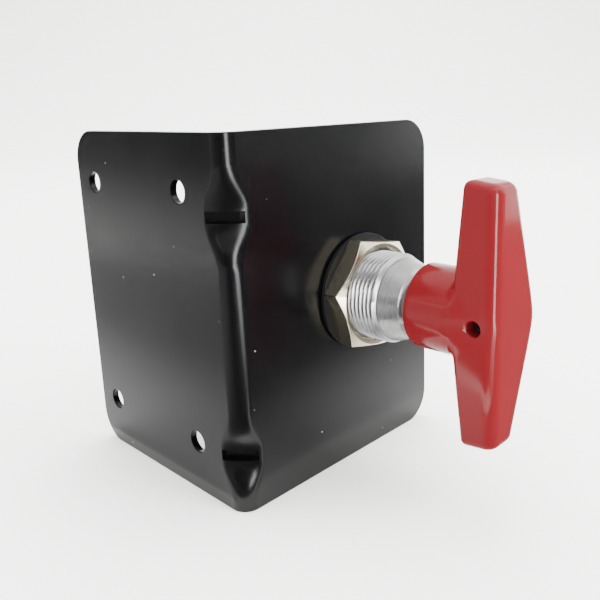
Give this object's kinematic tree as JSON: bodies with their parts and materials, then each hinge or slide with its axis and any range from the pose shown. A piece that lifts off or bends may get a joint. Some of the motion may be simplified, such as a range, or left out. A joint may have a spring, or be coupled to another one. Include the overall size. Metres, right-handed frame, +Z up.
{
  "type": "battery isolator switch",
  "caption": "Rotary battery isolator on a folded steel bracket: a quarter turn of the red T handle drives a cam that closes a copper bridge across two threaded studs.",
  "frame": {"origin": "centre of the overall box at the height of the bracket's lower edges, which the part stands on", "axes": "+Z up along the bend; -Y out of the switch leg towards the T handle, along the switch axis; -X out of the wall leg towards the wall it bolts to"},
  "size_m": [0.085, 0.1304, 0.106],
  "materials": {
    "black_paint": "semi-gloss",
    "black_rubber": "matte",
    "nickel_plate": "satin",
    "turned_aluminium": "turned",
    "brass": "satin",
    "steel": "zinc plated",
    "spring_steel": "oiled",
    "red_plastic": "gloss",
    "black_plastic": "moulded, matte",
    "white_plastic": "matte",
    "copper": null
  },
  "bodies": {
    "root": {"bracket": "black_paint", "front_gasket": "black_rubber", "nut_washer": "black_plastic", "panel_nut": "nickel_plate", "rear_gasket": "black_rubber", "barrel": "turned_aluminium", "front_bush": "brass", "rear_bush": "brass", "thrust_washer": "steel", "housing": "black_plastic", "cover_gasket": "black_rubber", "rear_cover": "black_plastic", "return_spring": "spring_steel", "case_screw_1": "steel", "case_screw_2": "steel", "case_screw_3": "steel", "case_screw_4": "steel", "stud_left": "brass", "stud_washer_left": "steel", "inner_nut_left": "brass", "lug_washer_left": "steel", "spring_washer_left": "spring_steel", "outer_nut_left": "brass", "stud_right": "brass", "stud_washer_right": "steel", "inner_nut_right": "brass", "lug_washer_right": "steel", "spring_washer_right": "spring_steel", "outer_nut_right": "brass"},
    "handle": {"t_handle": "red_plastic", "handle_pin": "spring_steel", "spindle": "steel", "spindle_o_ring": "black_rubber", "spindle_circlip": "spring_steel", "cam_rotor": "white_plastic", "rotor_washer": "steel", "rotor_screw": "steel"},
    "contact": {"contact_carrier": "white_plastic", "contact_spring": "spring_steel", "contact_bridge": "copper", "bridge_clip": "spring_steel"}
  },
  "joints": [
    {"name": "handle_turn", "type": "hinge", "parent": "root", "child": "handle", "pos_m": [0.0085, -0.0587, 0.0545], "axis": [0, 1, 0], "range_deg": [0, 90]},
    {"name": "contact_slide", "type": "slide", "parent": "root", "child": "contact", "axis": [0, 1, 0], "range_m": [0, 0.003], "deforming": ["return_spring"]}
  ],
  "couplings": [
    {"joint": "contact_slide", "follows": "handle_turn", "m_per_rad": 0.0019098}
  ]
}
